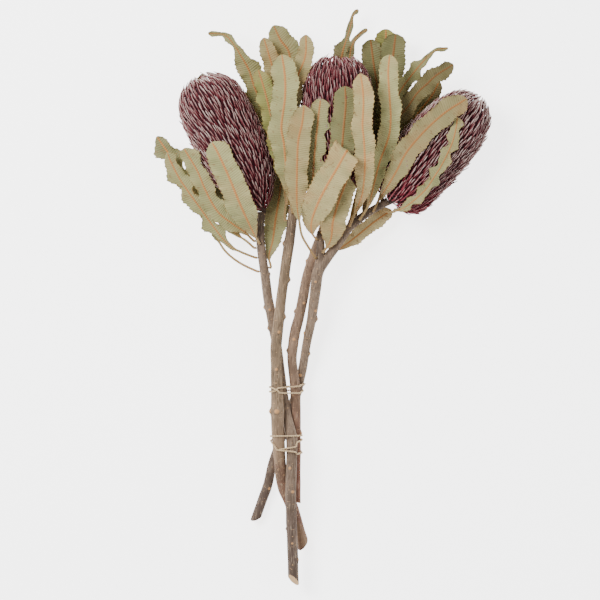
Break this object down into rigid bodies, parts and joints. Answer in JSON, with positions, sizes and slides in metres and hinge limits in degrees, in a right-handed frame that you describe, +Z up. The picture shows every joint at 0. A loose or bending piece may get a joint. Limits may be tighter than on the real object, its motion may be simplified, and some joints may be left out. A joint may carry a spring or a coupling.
{
  "type": "banksia flower",
  "caption": "Tied bunch of dried banksia flower heads on woody stems with toothed leaves, lying flat, for display or as filler for a vase or wreath.",
  "frame": {"origin": "on the table, under the middle of the whole bunch", "axes": "+Z up off the table, +Y from the cut stem ends to the leaf tips, +X to the right as seen from above"},
  "size_m": [0.3334, 0.5734, 0.0925],
  "materials": {
    "mauve_florets": "matte, fibrous",
    "sage_leaf": "matte, dry leaf",
    "tan_leaf": "matte, dry leaf",
    "olive_leaf": "matte, dry leaf",
    "yellow_green_leaf": "matte, dry leaf",
    "grey_brown_bark": "rough bark",
    "reddish_bark": "rough bark",
    "natural_twine": "matte, twisted fibre"
  },
  "bodies": {
    "root": {"flower_head_left": "mauve_florets", "flower_head_middle": "mauve_florets", "flower_head_right": "mauve_florets", "leaf_left_front": "sage_leaf", "leaf_left_second": "sage_leaf", "leaf_left_third": "sage_leaf", "leaf_left_fourth": "olive_leaf", "leaf_left_dry": "tan_leaf", "leaf_left_right": "sage_leaf", "leaf_left_under": "olive_leaf", "leaf_top_dark": "olive_leaf", "leaf_top_curled": "sage_leaf", "leaf_top_back": "sage_leaf", "leaf_top_second": "tan_leaf", "leaf_top_right": "tan_leaf", "leaf_top_yellow": "yellow_green_leaf", "leaf_top_large": "sage_leaf", "leaf_centre_left": "tan_leaf", "leaf_centre_torn": "sage_leaf", "leaf_middle_half": "sage_leaf", "leaf_middle_front": "tan_leaf", "leaf_middle_grey": "sage_leaf", "leaf_right_large": "tan_leaf", "leaf_right_narrow": "sage_leaf", "leaf_front_folded": "tan_leaf", "leaf_front_small": "tan_leaf", "leaf_under_branch": "tan_leaf", "leaf_back_twisted_tip": "olive_leaf", "leaf_back_thin_tip": "olive_leaf", "leaf_back_yellow_tip": "yellow_green_leaf", "leaf_back_grey": "sage_leaf", "leaf_back_broad": "sage_leaf", "leaf_back_curled": "sage_leaf", "leaf_back_tan": "tan_leaf", "leaf_back_dark": "olive_leaf", "stem_left": "grey_brown_bark", "stem_back": "grey_brown_bark", "stem_middle": "reddish_bark", "stem_right": "grey_brown_bark", "tie_upper": "natural_twine", "tie_lower": "natural_twine"}
  },
  "joints": []
}
